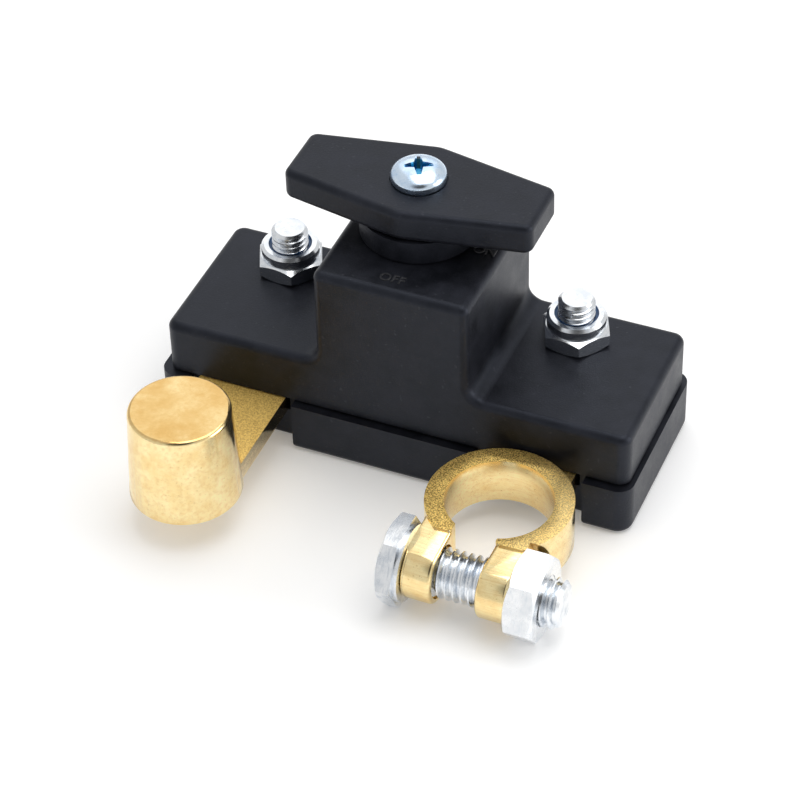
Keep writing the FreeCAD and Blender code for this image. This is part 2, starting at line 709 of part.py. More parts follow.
def make_rotor_shaft():
    """The moulded drum and stem: a slot for the bridge below, a square for the handle above."""
    body = new_body("rotor_shaft")
    drum = sketch_on(body, "XY_Plane", lift=DRUM_BOTTOM)
    circle(drum, "0", "0", "drum_radius")
    extrude(drum, f"{DRUM_TOP} - {DRUM_BOTTOM}")
    stem = sketch_on(body, "XY_Plane", lift=DRUM_TOP)
    circle(stem, "0", "0", "stem_radius")
    extrude(stem, f"{HUB_BOTTOM} - {DRUM_TOP}")
    drive = sketch_on(body, "XY_Plane", lift=HUB_BOTTOM)
    rectangle(drive, "0", "0", "drive_width / 2", "drive_width / 2")
    extrude(drive, "drive_height")

    slot = sketch_on(body, "XY_Plane", lift=DRUM_BOTTOM)
    rectangle(slot, "0", "0", "drum_radius * 2", "(bridge_width / 2 + slot_play)")
    extrude(slot, f"{SLOT_TOP} - {DRUM_BOTTOM}", cut=True, other_way=True)

    groove = sketch_on(body, "XZ_Plane")
    level = f"{TOWER_TOP} - seal_depth_below"
    bottom = "stem_radius - 2 * seal_wire"
    outline(groove, [(bottom, f"{level} - seal_wire"), ("stem_radius * 2", f"{level} - seal_wire"),
                     ("stem_radius * 2", f"{level} + seal_wire"), (bottom, f"{level} + seal_wire")])
    turn_about(groove, cut=True)

    tapped = sketch_on(body, "XY_Plane", lift=f"{HUB_BOTTOM} + drive_height")
    circle(tapped, "0", "0", "screw_radius + thread_play")
    extrude(tapped, "screw_length", cut=True)


def make_shaft_seal():
    """The rubber ring that keeps water out of the tower."""
    body = new_body("shaft_seal")
    section = sketch_on(body, "XZ_Plane")
    middle = f"({TOWER_TOP} - seal_depth_below)"
    rectangle(section, "(stem_radius - seal_wire)", middle, "seal_wire", "seal_wire")
    turn_about(section)


def make_handle():
    """The six-sided grip and its round hub, moulded in one piece."""
    body = new_body("handle")
    plan = sketch_on(body, "XY_Plane", lift=GRIP_BOTTOM)
    outline(plan, [("-grip_half", "-grip_end"), ("0", "-grip_middle"), ("grip_half", "-grip_end"),
                   ("grip_half", "grip_end"), ("0", "grip_middle"), ("-grip_half", "grip_end")])
    grip = extrude(plan, "grip_thickness")
    nosed = soften(grip, "grip_nose", lambda edge: is_upright(edge) and near(edge.CenterOfMass.x, "0"))
    ended = soften(nosed, "grip_corner",
                   lambda edge: is_upright(edge) and near(abs(edge.CenterOfMass.x), "grip_half"))
    soften(ended, "grip_round", lambda edge: edge.BoundBox.ZLength < 0.01)

    hub = sketch_on(body, "XY_Plane", lift=HUB_BOTTOM)
    circle(hub, "0", "0", "hub_radius")
    extrude(hub, "hub_height")

    socket = sketch_on(body, "XY_Plane", lift=HUB_BOTTOM)
    square = "(drive_width / 2 + drive_play)"
    rectangle(socket, "0", "0", square, square)
    extrude(socket, "drive_height + drive_play", cut=True, other_way=True)

    seat = sketch_on(body, "XY_Plane", lift=GRIP_TOP)
    circle(seat, "0", "0", "screw_head_radius + drive_play")
    extrude(seat, "screw_seat", cut=True)
    hole = sketch_on(body, "XY_Plane", lift=GRIP_TOP)
    circle(hole, "0", "0", "screw_radius + stud_play")
    extrude(hole, "grip_thickness", cut=True)


def make_handle_screw():
    """The pan-head screw with a cross recess that holds the handle on the stem."""
    body = new_body("handle_screw")
    profile = sketch_on(body, "XZ_Plane")
    top = f"{SCREW_SEAT} + screw_head_height"
    rim = f"{SCREW_SEAT} + screw_rim"
    end = f"{SCREW_SEAT} - screw_length"
    outline(profile, [("0", end), ("screw_point", end), ("screw_radius", f"{end} + screw_radius"),
                      ("screw_radius", SCREW_SEAT), ("screw_head_radius", SCREW_SEAT),
                      ("screw_head_radius", rim), ("screw_crown", top), ("0", top)])
    turned = turn_about(profile)
    soften(turned, "screw_round", lambda edge: near(edge.BoundBox.ZMin, rim))
    for half_x, half_y in (("recess_length / 2", "recess_width / 2"),
                           ("recess_width / 2", "recess_length / 2")):
        arm = sketch_on(body, "XY_Plane", lift=top)
        rectangle(arm, "0", "0", half_x, half_y)
        extrude(arm, "recess_depth", cut=True)


make_base_tray()
make_cover()
make_post_terminal()
make_clamp_terminal()
for name, side in SIDES.items():
    make_stud(name, side)
    make_stud_nut(name, side)
    make_nut_insert(name, side)
    make_fixed_contact(name, side)
make_clamp_bolt()
make_clamp_nut()
make_clamp_washer()
make_contact_bridge()
make_contact_spring()
make_rotor_shaft()
make_shaft_seal()
make_handle()
make_handle_screw()
doc.recompute()

# Every object must be sound before any file is written

for item in doc.Objects:
    if "Invalid" in item.State or "Error" in item.State:
        raise ValueError(f"{item.Label} failed: {item.State}")
bodies = [item for item in doc.Objects if item.TypeId == "PartDesign::Body"]
for body in bodies:
    if body.Shape.isNull() or not body.Shape.isValid() or len(body.Shape.Solids) != 1:
        raise ValueError(f"{body.Label} is not one sound solid")

os.makedirs("parts", exist_ok=True)
for body in bodies:
    body.Shape.exportStep(f"parts/{body.Label}.step")
    box = body.Shape.BoundBox
    print(f"{body.Label}: {body.Shape.Volume:.1f} mm3, x {box.XMin:.2f} to {box.XMax:.2f}, "
          f"y {box.YMin:.2f} to {box.YMax:.2f}, z {box.ZMin:.2f} to {box.ZMax:.2f}")
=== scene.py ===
import math

import bmesh
import bpy
from mathutils import Matrix, Vector


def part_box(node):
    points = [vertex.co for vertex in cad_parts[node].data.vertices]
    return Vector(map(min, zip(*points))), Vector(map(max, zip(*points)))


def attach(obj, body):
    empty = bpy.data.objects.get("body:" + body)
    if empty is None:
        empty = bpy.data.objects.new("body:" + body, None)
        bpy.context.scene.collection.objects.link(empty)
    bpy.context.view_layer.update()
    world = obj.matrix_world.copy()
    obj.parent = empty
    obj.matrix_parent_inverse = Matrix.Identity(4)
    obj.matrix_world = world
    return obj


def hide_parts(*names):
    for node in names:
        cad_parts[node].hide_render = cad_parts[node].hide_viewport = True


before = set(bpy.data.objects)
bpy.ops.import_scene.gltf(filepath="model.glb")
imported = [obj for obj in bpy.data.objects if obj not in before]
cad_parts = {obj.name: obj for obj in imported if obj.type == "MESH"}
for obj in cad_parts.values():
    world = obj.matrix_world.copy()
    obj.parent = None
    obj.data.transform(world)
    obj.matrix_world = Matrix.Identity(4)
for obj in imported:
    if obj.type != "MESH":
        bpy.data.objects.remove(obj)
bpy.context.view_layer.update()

bpy.ops.object.select_all(action="DESELECT")

# The camera
# It stands in front of the switch, a little to the right of it and well above the table, as the
# photographer's did, and looks at the foot of the housing through a long lens.

CAMERA_TURN = math.radians(23.85)
CAMERA_RISE = math.radians(41.64)
CAMERA_ROLL = math.radians(-1.81)
CAMERA_DISTANCE = 0.48053
CAMERA_AIM = Vector((-0.0039, -0.0009, 0.0002))
CAMERA_LENS = 133.25
SENSOR_WIDTH = 36

lens = bpy.data.cameras.new("photo_camera")
lens.lens = CAMERA_LENS
lens.sensor_width = SENSOR_WIDTH
camera = bpy.data.objects.new("photo_camera", lens)
turned = Matrix.Rotation(CAMERA_TURN, 4, "Z") @ Matrix.Rotation(math.pi / 2 - CAMERA_RISE, 4, "X")
turned = turned @ Matrix.Rotation(CAMERA_ROLL, 4, "Z")
back = turned @ Vector((0, 0, CAMERA_DISTANCE))
camera.matrix_world = Matrix.Translation(CAMERA_AIM + back) @ turned
bpy.context.scene.collection.objects.link(camera)
bpy.context.scene.camera = camera
bpy.context.scene.view_settings.view_transform = "Standard"


# The studio
# A white floor, a large soft box overhead, one behind and a small one at the right, in a pale room
# that is dim on the photographer's side, so that polished metal has something dark to reflect.

def fit_node(tree, kind, inputs=None, **settings):
    """Puts a node in a tree, sets it, and wires or fills its inputs."""
    made = tree.nodes.new("ShaderNode" + kind)
    for name, value in settings.items():
        setattr(made, name, value)
    for name, value in (inputs or {}).items():
        if isinstance(value, bpy.types.NodeSocket):
            tree.links.new(value, made.inputs[name])
        else:
            made.inputs[name].default_value = value
    return made


def spread(tree, value, low, high, to_low=0.0, to_high=1.0):
    """A value between two levels, stretched to two others and held there beyond them."""
    return fit_node(tree, "MapRange", {"Value": value, "From Min": low, "From Max": high,
                                       "To Min": to_low, "To Max": to_high}).outputs["Result"]


def new_finish(name):
    """A new material, and the tree and shader in it."""
    finish = bpy.data.materials.new(name)
    finish.use_nodes = True
    return finish, finish.node_tree, finish.node_tree.nodes["Principled BSDF"]


FLOOR_SIZE = 4.0
FLOOR_WHITE = (0.9, 0.9, 0.9, 1)
FLOOR_ROUGHNESS = 0.9
FLOOR_SHINE = 0.1
FLOOR_LIFT = 0.17

floor_paper, tree, shader = new_finish("white_paper")
shader.inputs["Base Color"].default_value = FLOOR_WHITE
shader.inputs["Roughness"].default_value = FLOOR_ROUGHNESS
shader.inputs["Specular IOR Level"].default_value = FLOOR_SHINE
shader.inputs["Emission Color"].default_value = (1, 1, 1, 1)
rays = fit_node(tree, "LightPath").outputs
mirrored = fit_node(tree, "Math", {0: rays["Is Glossy Ray"], 1: rays["Is Transmission Ray"]},
                    operation="MAXIMUM").outputs[0]
seen = fit_node(tree, "Math", {0: rays["Is Camera Ray"], 1: mirrored}, operation="MAXIMUM")
seen = spread(tree, seen.outputs[0], 0, 1, 0, FLOOR_LIFT)
tree.links.new(seen, shader.inputs["Emission Strength"])

bpy.ops.mesh.primitive_plane_add(size=FLOOR_SIZE, location=(0, 0, 0))
floor = bpy.context.object
floor.name = "floor"
floor.data.materials.append(floor_paper)

ROOM_LIGHT = 0.72
ROOM_DIM = 0.06
DIM_EDGE = 0.86
DIM_CORE = 0.97
TOWARDS_CAMERA = back.normalized()

world = bpy.data.worlds.new("pale_room")
world.use_nodes = True
tree = world.node_tree
looking = fit_node(tree, "TexCoord").outputs["Generated"]
facing = fit_node(tree, "VectorMath", {0: looking, 1: TOWARDS_CAMERA}, operation="DOT_PRODUCT")
room = spread(tree, facing.outputs["Value"], DIM_EDGE, DIM_CORE, ROOM_LIGHT, ROOM_DIM)
rays = fit_node(tree, "LightPath").outputs["Is Camera Ray"]
strength = fit_node(tree, "Mix", {0: rays, 2: room, 3: 1.0}).outputs[0]
tree.links.new(strength, tree.nodes["Background"].inputs["Strength"])
tree.nodes["Background"].inputs["Color"].default_value = (1, 1, 1, 1)
bpy.context.scene.world = world


def soft_box(name, place, size, power):
    """A square lamp that looks at the switch."""
    lamp = bpy.data.lights.new(name, "AREA")
    lamp.shape = "SQUARE"
    lamp.size = size
    lamp.energy = power
    box = bpy.data.objects.new(name, lamp)
    box.location = place
    box.rotation_euler = (-Vector(place)).to_track_quat("-Z", "Y").to_euler()
    bpy.context.scene.collection.objects.link(box)


soft_box("overhead_box", place=(0.10, 0.08, 0.62), size=0.5, power=1.6)
soft_box("rear_box", place=(-0.26, 0.58, 0.55), size=0.7, power=0.8)
soft_box("right_box", place=(0.60, 0.12, 0.20), size=0.35, power=1.4)


# The housing: tray, cover, handle and shaft
# Four mouldings of black glass-filled nylon, with a fine grain left by the tools and a slight flow
# of darker and lighter tone. Cover and tray snap together, and a screw holds the handle.

def node_group(name, inputs, outputs):
    """A new shader node group with its sockets, and its two end nodes."""
    group = bpy.data.node_groups.new(name, "ShaderNodeTree")
    for label, kind, value in inputs:
        socket = group.interface.new_socket(name=label, in_out="INPUT", socket_type=kind)
        socket.default_value = value
    for label, kind in outputs:
        group.interface.new_socket(name=label, in_out="OUTPUT", socket_type=kind)
    return group, group.nodes.new("NodeGroupInput"), group.nodes.new("NodeGroupOutput")


def noise(tree, place, scale, detail=2.0, roughness=0.5):
    """A cloudy pattern from 0 to 1."""
    return fit_node(tree, "TexNoise", {"Vector": place, "Scale": scale, "Detail": detail,
                                       "Roughness": roughness}).outputs["Fac"]


def mix_colours(tree, amount, first, second):
    """A colour between two others."""
    return fit_node(tree, "Mix", {0: amount, 6: first, 7: second}, data_type="RGBA").outputs[2]


GRAIN_OUT = (("Colour", "NodeSocketColor"), ("Roughness", "NodeSocketFloat"),
             ("Height", "NodeSocketFloat"))
FLOW_SCALE = 210.0
DUST_SCALE = 1500.0
DUST_AMOUNT = 0.35
DUST_TONE = (0.05, 0.052, 0.06, 1)

moulded_grain, given, made = node_group(
    "moulded_grain",
    (("Deep Tone", "NodeSocketColor", (0.004, 0.0043, 0.006, 1)),
     ("Pale Tone", "NodeSocketColor", (0.012, 0.0126, 0.017, 1)),
     ("Grain", "NodeSocketFloat", 4200.0),
     ("Gloss", "NodeSocketFloat", 0.42)),
    GRAIN_OUT)
spot = fit_node(moulded_grain, "TexCoord").outputs["Object"]
grain = noise(moulded_grain, spot, given.outputs["Grain"], 3.0, 0.6)
flow = noise(moulded_grain, spot, FLOW_SCALE, 4.0, 0.6)
dust = noise(moulded_grain, spot, DUST_SCALE, 1.0)
dust = spread(moulded_grain, dust, 0.70, 0.80, 0, DUST_AMOUNT)
tone = mix_colours(moulded_grain, spread(moulded_grain, flow, 0.35, 0.68),
                   given.outputs["Deep Tone"], given.outputs["Pale Tone"])
tone = mix_colours(moulded_grain, dust, tone, DUST_TONE)
moulded_grain.links.new(tone, made.inputs["Colour"])
sheen = fit_node(moulded_grain, "Math", {0: given.outputs["Gloss"],
                                         1: spread(moulded_grain, flow, 0.3, 0.7, -0.05, 0.07)},
                 operation="ADD").outputs[0]
sheen = fit_node(moulded_grain, "Math", {0: sheen,
                                         1: spread(moulded_grain, grain, 0.3, 0.7, 0, 0.08)},
                 operation="ADD").outputs[0]
moulded_grain.links.new(sheen, made.inputs["Roughness"])
moulded_grain.links.new(grain, made.inputs["Height"])


def patterned(name, group, depth, metallic=0.0, **values):
    """A material whose colour, roughness and relief come from a pattern group."""
    finish, tree, shader = new_finish(name)
    labels = {label.replace("_", " "): value for label, value in values.items()}
    pattern = fit_node(tree, "Group", labels, node_tree=group)
    relief = fit_node(tree, "Bump", {"Height": pattern.outputs["Height"], "Distance": depth,
                                     "Strength": 1.0})
    tree.links.new(pattern.outputs["Colour"], shader.inputs["Base Color"])
    tree.links.new(pattern.outputs["Roughness"], shader.inputs["Roughness"])
    tree.links.new(relief.outputs["Normal"], shader.inputs["Normal"])
    shader.inputs["Metallic"].default_value = metallic
    return finish, tree, shader, pattern


def dress(piece, finish):
    """Gives a piece its material."""
    piece.data.materials.clear()
    piece.data.materials.append(finish)


PLASTIC_SHINE = 0.32
PLASTIC_TINT = (0.72, 0.80, 1.0, 1)
MOULDINGS = {
    "base_tray": {"Grain": 3300.0, "Gloss": 0.36},
    "cover": {"Grain": 3600.0, "Gloss": 0.36},
    "handle": {"Grain": 3600.0, "Gloss": 0.38},
    "rotor_shaft": {"Grain": 2500.0, "Gloss": 0.35}}

for name, values in MOULDINGS.items():
    finish, tree, shader, pattern = patterned(name + "_nylon", moulded_grain, depth=0.00003,
                                              **values)
    shader.inputs["Specular IOR Level"].default_value = PLASTIC_SHINE
    shader.inputs["Specular Tint"].default_value = PLASTIC_TINT
    dress(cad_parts[name], finish)


# The words on the tower
# ON and OFF stand a fifth of a millimetre proud of the tower's top, moulded in one with the
# cover beside the places where the handle points.

def pick(piece):
    """Selects one piece alone and makes it the active one."""
    bpy.ops.object.select_all(action="DESELECT")
    piece.select_set(True)
    bpy.context.view_layer.objects.active = piece


WELD = 0.000001


def weld(piece):
    """Merges what lies in one place in a mesh, and turns its faces outwards."""
    pick(piece)
    bpy.ops.object.mode_set(mode="EDIT")
    bpy.ops.mesh.select_all(action="SELECT")
    bpy.ops.mesh.remove_doubles(threshold=WELD)
    bpy.ops.mesh.normals_make_consistent(inside=False)
    bpy.ops.object.mode_set(mode="OBJECT")


WORDS = (("word_off", "OFF", (-0.0012, -0.0140)), ("word_on", "ON", (0.0096, -0.0028)))
WORD_SIZE = 0.0024
WORD_RISE = 0.0002
TOWER_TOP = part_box("cover")[1].z

word_finish = patterned("word_nylon", moulded_grain, depth=0.000008,
                        Deep_Tone=(0.008, 0.0085, 0.011, 1), Pale_Tone=(0.026, 0.027, 0.032, 1),
                        Grain=5000.0, Gloss=0.36)[0]
for name, word, place in WORDS:
    bpy.ops.object.text_add(location=(*place, TOWER_TOP))
    letters = bpy.context.object
    letters.data.body = word
    letters.data.size = WORD_SIZE
    letters.data.extrude = WORD_RISE
    bpy.ops.object.convert(target="MESH")
    bpy.ops.object.transform_apply(location=True, rotation=True, scale=True)
    letters.name = name
    weld(letters)
    dress(letters, word_finish)
    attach(letters, "housing")


# The studs
# Two M6 studs of bright zinc-plated steel stand up through the wings. Their hexagon heads lie in
# pockets under the tray, and the rolled thread runs to a chamfered end above the locking nut.

def edge_line(points):
    """A line of edges through points given by radius and height, left open in edit mode."""
    bpy.ops.mesh.primitive_plane_add(size=0.001, location=(0, 0, 0))
    bpy.ops.object.mode_set(mode="EDIT")
    bpy.ops.mesh.select_all(action="SELECT")
    bpy.ops.mesh.merge(type="CENTER")
    bpy.ops.transform.translate(value=(points[0][0], 0, points[0][1]))
    for start, end in zip(points, points[1:]):
        step = (end[0] - start[0], 0, end[1] - start[1])
        bpy.ops.mesh.extrude_region_move(TRANSFORM_OT_translate={"value": step})
    bpy.ops.mesh.select_all(action="SELECT")
    return bpy.context.object


TURN_STEPS = 48


def lathe(points):
    """A solid turned about the upright axis from a line of points."""
    blank = edge_line(points)
    bpy.ops.mesh.spin(steps=TURN_STEPS, angle=2 * math.pi, center=(0, 0, 0), axis=(0, 0, 1))
    bpy.ops.mesh.select_all(action="SELECT")
    bpy.ops.mesh.remove_doubles(threshold=WELD)
    bpy.ops.mesh.normals_make_consistent(inside=False)
    bpy.ops.object.mode_set(mode="OBJECT")
    return blank


def apply_change(piece, kind, **settings):
    """Adds a modifier to a piece and applies it."""
    pick(piece)
    change = piece.modifiers.new(kind, kind)
    for name, value in settings.items():
        setattr(change, name, value)
    bpy.ops.object.modifier_apply(modifier=change.name)


def shape_with(piece, tool, operation):
    """Joins a piece to a tool, cuts it by the tool or keeps what both hold, and drops the tool."""
    apply_change(piece, "BOOLEAN", object=tool, operation=operation, solver="EXACT")
    bpy.data.objects.remove(tool)


THREAD_FORM = ((0, 0), (0, 0.22), (1, 0.52), (1, 0.70), (0, 1))
THREAD_DEPTH = 0.56
SPARE_TURNS = 2
CLEAR = 1.1


def threaded_rod(radius, pitch, start, end, chamfer):
    """An upright rod with a helical thread and a chamfer at its top."""
    below = start - SPARE_TURNS * pitch
    root = radius - THREAD_DEPTH * pitch
    rod = edge_line([(root + (radius - root) * out, below + pitch * up) for out, up in THREAD_FORM])
    bpy.ops.object.mode_set(mode="OBJECT")
    turns = math.ceil((end - start) / pitch) + 2 * SPARE_TURNS
    apply_change(rod, "SCREW", screw_offset=pitch, iterations=turns, steps=TURN_STEPS,
                 render_steps=TURN_STEPS)
    bpy.ops.object.mode_set(mode="EDIT")
    bpy.ops.mesh.select_all(action="SELECT")
    bpy.ops.mesh.remove_doubles(threshold=WELD)
    spare = pitch / 3
    for level, side in ((start - spare, -1), (end + spare, 1)):
        bpy.ops.mesh.select_all(action="SELECT")
        bpy.ops.mesh.bisect(plane_co=(0, 0, level), plane_no=(0, 0, side), use_fill=True,
                            clear_outer=True, threshold=WELD / 10)
    bpy.ops.mesh.select_all(action="SELECT")
    bpy.ops.mesh.normals_make_consistent(inside=False)
    bpy.ops.object.mode_set(mode="OBJECT")
    room = CLEAR * radius
    shape_with(rod, lathe([(0, start), (room, start), (room, end - chamfer - room + radius),
                           (radius - chamfer, end), (0, end)]), "INTERSECT")
    return rod


CHAMFER_FACE = 0.485
CHAMFER_SLOPE = math.tan(math.pi / 6)
OVERRUN = 0.2


def hexagon_head(flats, low, high):
    """A hexagon block whose corners are chamfered at its lower end, a corner along Y."""
    corner = flats / 2 / math.cos(math.pi / 6)
    bpy.ops.mesh.primitive_cylinder_add(vertices=6, radius=corner, depth=high - low,
                                        location=(0, 0, (low + high) / 2))
    head = bpy.context.object
    bpy.ops.object.transform_apply(location=True, rotation=True, scale=True)
    wide = CLEAR * corner
    face = CHAMFER_FACE * flats
    rise = (wide - face) * CHAMFER_SLOPE
    over = high + OVERRUN * (high - low)
    shape_with(head, lathe([(0, low), (face, low), (wide, low + rise), (wide, over), (0, over)]),
               "INTERSECT")
    return head


def settle(piece, name, place=(0, 0, 0), turn=(0, 0, 0), smooth=28):
    """Names a piece, puts it in place, and shades its round faces smooth."""
    piece.name = name
    piece.data.name = name
    piece.location = place
    piece.rotation_euler = turn
    pick(piece)
    bpy.ops.object.transform_apply(location=True, rotation=True, scale=True)
    bpy.ops.object.shade_smooth_by_angle(angle=math.radians(smooth))
    return piece


STUD_RADIUS = 0.00293
STUD_PITCH = 0.001
STUD_X, STUD_Y = 0.0244, 0.004
STUD_FLATS = 0.010
STUD_FOOT, STUD_SHOULDER = 0.0005, 0.0041
STUD_BURIED = 0.0013
STUD_CHAMFER = 0.0005
STUD_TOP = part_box("stud_bolt_left")[1].z
CLOUD_SCALE = 420.0

plated_steel, given, made = node_group(
    "plated_steel",
    (("Bright", "NodeSocketColor", (0.86, 0.88, 0.90, 1)),
     ("Shade", "NodeSocketColor", (0.62, 0.67, 0.74, 1)),
     ("Stretch", "NodeSocketVector", (2500.0, 2500.0, 2500.0)),
     ("Gloss", "NodeSocketFloat", 0.2)),
    GRAIN_OUT)
spot = fit_node(plated_steel, "TexCoord").outputs["Object"]
drawn = fit_node(plated_steel, "VectorMath", {0: spot, 1: given.outputs["Stretch"]},
                 operation="MULTIPLY").outputs["Vector"]
lines = noise(plated_steel, drawn, 1.0, 3.0, 0.6)
cloud = noise(plated_steel, spot, CLOUD_SCALE, 3.0, 0.6)
tint = fit_node(plated_steel, "Math", {0: spread(plated_steel, cloud, 0.4, 0.7, 0, 0.6),
                                       1: spread(plated_steel, lines, 0.5, 0.75, 0, 0.5)},
                operation="ADD").outputs[0]
plated_steel.links.new(mix_colours(plated_steel, tint, given.outputs["Bright"],
                                   given.outputs["Shade"]), made.inputs["Colour"])
gloss = fit_node(plated_steel, "Math", {0: given.outputs["Gloss"],
                                        1: spread(plated_steel, cloud, 0.3, 0.7, -0.04, 0.10)},
                 operation="ADD").outputs[0]
plated_steel.links.new(gloss, made.inputs["Roughness"])
plated_steel.links.new(lines, made.inputs["Height"])

stud_finish = patterned("stud_zinc", plated_steel, depth=0.000006, metallic=1.0,
                        Stretch=(900.0, 900.0, 4200.0), Gloss=0.22)[0]
stud = threaded_rod(STUD_RADIUS, STUD_PITCH, STUD_SHOULDER - STUD_BURIED, STUD_TOP, STUD_CHAMFER)
head = hexagon_head(STUD_FLATS, STUD_FOOT, STUD_SHOULDER)
head.rotation_euler = (0, 0, math.pi / 6)
shape_with(stud, head, "UNION")
weld(stud)
second_stud = stud.copy()
second_stud.data = stud.data.copy()
bpy.context.scene.collection.objects.link(second_stud)
for side, piece in ((-1, stud), (1, second_stud)):
    name = "left" if side < 0 else "right"
    settle(piece, f"threaded_stud_{name}", (side * STUD_X, STUD_Y, 0))
    dress(piece, stud_finish)
    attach(piece, "housing")
    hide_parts(f"stud_bolt_{name}")


# The locking nuts
# Hexagon nuts with a turned collar that is rolled in over a ring of blue nylon, which grips the
# thread. Bright zinc plate, with the turning marks on the collar and the chamfers left by the tool.

nut_finish = patterned("nut_zinc", plated_steel, depth=0.000005, metallic=1.0,
                       Stretch=(700.0, 700.0, 3200.0), Gloss=0.17)[0]
ring_pattern, given, made = node_group(
    "nylon_cloud",
    (("Deep Tone", "NodeSocketColor", (0.010, 0.045, 0.13, 1)),
     ("Pale Tone", "NodeSocketColor", (0.03, 0.11, 0.26, 1)),
     ("Cloud", "NodeSocketFloat", 900.0)),
    GRAIN_OUT)
spot = fit_node(ring_pattern, "TexCoord").outputs["Object"]
cloud = noise(ring_pattern, spot, given.outputs["Cloud"], 4.0, 0.6)
ring_pattern.links.new(mix_colours(ring_pattern, spread(ring_pattern, cloud, 0.3, 0.7),
                                   given.outputs["Deep Tone"], given.outputs["Pale Tone"]),
                       made.inputs["Colour"])
ring_pattern.links.new(spread(ring_pattern, cloud, 0.3, 0.7, 0.35, 0.5), made.inputs["Roughness"])
ring_pattern.links.new(cloud, made.inputs["Height"])
ring_finish = patterned("ring_nylon", ring_pattern, depth=0.00001)[0]
for name in ("left", "right"):
    dress(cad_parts[f"stud_nut_{name}"], nut_finish)
    dress(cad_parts[f"nut_insert_{name}"], ring_finish)


# The cast terminals
# The post with its bar, and the split clamp with its bar, are sand-cast brass. Their tops keep the
# dark, coarse casting skin, and the post, the bore and the ears are machined and polished pale.

POLISHED_PALE = (0.98, 0.83, 0.46, 1)
POLISHED_DEEP = (0.89, 0.65, 0.29, 1)
TOOL_LINE = (0.78, 0.50, 0.22, 1)
STAIN = (0.50, 0.27, 0.09, 1)
TARNISHED = (0.68, 0.43, 0.15, 1)
SKIN_BRIGHT = (1.0, 0.72, 0.22, 1)
SKIN_ROUGHNESS = 0.40
BLOTCH_SCALE = 260.0
STAIN_SCALE = 2600.0
TARNISH_SCALE = 130.0
PIT_SCALE = 4600.0
LINE_RELIEF = 0.07

# The skin tone socket holds the casting skin's dark tone for the clamp, and a far paler copy for
# the post's bar, which is painted light standing in for the light from above.
cast_brass, given, made = node_group(
    "cast_brass",
    (("Skin", "NodeSocketFloat", 0.0),
     ("Skin Deep", "NodeSocketColor", (0.20, 0.11, 0.03, 1)),
     ("Tarnish", "NodeSocketFloat", 0.0),
     ("Stretch", "NodeSocketVector", (1800.0, 1800.0, 1800.0)),
     ("Gloss", "NodeSocketFloat", 0.22)),
    GRAIN_OUT)
spot = fit_node(cast_brass, "TexCoord").outputs["Object"]
drawn = fit_node(cast_brass, "VectorMath", {0: spot, 1: given.outputs["Stretch"]},
                 operation="MULTIPLY").outputs["Vector"]
lines = noise(cast_brass, drawn, 1.0, 3.0, 0.55)
blotch = noise(cast_brass, spot, BLOTCH_SCALE, 4.0, 0.65)
pits = noise(cast_brass, spot, PIT_SCALE, 4.0, 0.7)
stain = spread(cast_brass, noise(cast_brass, spot, STAIN_SCALE, 3.0, 0.7), 0.64, 0.72, 0, 0.8)
polished = mix_colours(cast_brass, spread(cast_brass, blotch, 0.35, 0.7), POLISHED_PALE,
                       POLISHED_DEEP)
polished = mix_colours(cast_brass, spread(cast_brass, lines, 0.45, 0.75, 0, 0.5), polished,
                       TOOL_LINE)
polished = mix_colours(cast_brass, stain, polished, STAIN)
cloud = noise(cast_brass, spot, TARNISH_SCALE, 5.0, 0.7)
cloud = fit_node(cast_brass, "Math", {0: given.outputs["Tarnish"],
                                      1: spread(cast_brass, cloud, 0.35, 0.65, 0.45, 1.0)},
                 operation="MULTIPLY").outputs[0]
polished = mix_colours(cast_brass, cloud, polished, TARNISHED)
skin = mix_colours(cast_brass, spread(cast_brass, pits, 0.40, 0.58),
                   given.outputs["Skin Deep"], SKIN_BRIGHT)
cast_brass.links.new(mix_colours(cast_brass, given.outputs["Skin"], polished, skin),
                     made.inputs["Colour"])
smooth_gloss = fit_node(cast_brass, "Math", {0: given.outputs["Gloss"],
                                             1: spread(cast_brass, blotch, 0.3, 0.7, -0.04, 0.08)},
                        operation="ADD").outputs[0]
cast_brass.links.new(fit_node(cast_brass, "Mix", {0: given.outputs["Skin"], 2: smooth_gloss,
                                                  3: SKIN_ROUGHNESS}).outputs[0],
                     made.inputs["Roughness"])
low_lines = spread(cast_brass, lines, 0, 1, 0, LINE_RELIEF)
cast_brass.links.new(fit_node(cast_brass, "Mix", {0: given.outputs["Skin"], 2: low_lines,
                                                  3: pits}).outputs[0], made.inputs["Height"])


EAR_FRONT = -0.0372
EAR_ROUND = 0.0006
WASHER_RIM = 0.0014
SHARP = math.radians(50)


def round_ears(piece):
    """Rounds the outlines of the clamp's ears, but not the rims of the bolt's hole."""
    bolt = (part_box("clamp_bolt")[0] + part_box("clamp_bolt")[1]) / 2
    clear = (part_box("clamp_washer")[1].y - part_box("clamp_washer")[0].y) / 2 - WASHER_RIM
    bpy.ops.object.mode_set(mode="EDIT")
    bpy.ops.mesh.select_all(action="DESELECT")
    shape = bmesh.from_edit_mesh(piece.data)
    for line in shape.edges:
        ends = [vertex.co for vertex in line.verts]
        outside = all(math.hypot(end.y - bolt.y, end.z - bolt.z) > clear for end in ends)
        level = abs(ends[0].x - ends[1].x) < WELD
        line.select_set(outside and level and max(end.y for end in ends) < EAR_FRONT
                        and line.calc_face_angle(0) > SHARP)
    bmesh.update_edit_mesh(piece.data)
    bpy.ops.mesh.bevel(offset=EAR_ROUND, segments=4, affect="EDGES")
    bpy.ops.object.mode_set(mode="OBJECT")


FLAT = math.radians(0.4)
CORNER = math.radians(32)
EDGE_EASE = 0.00018


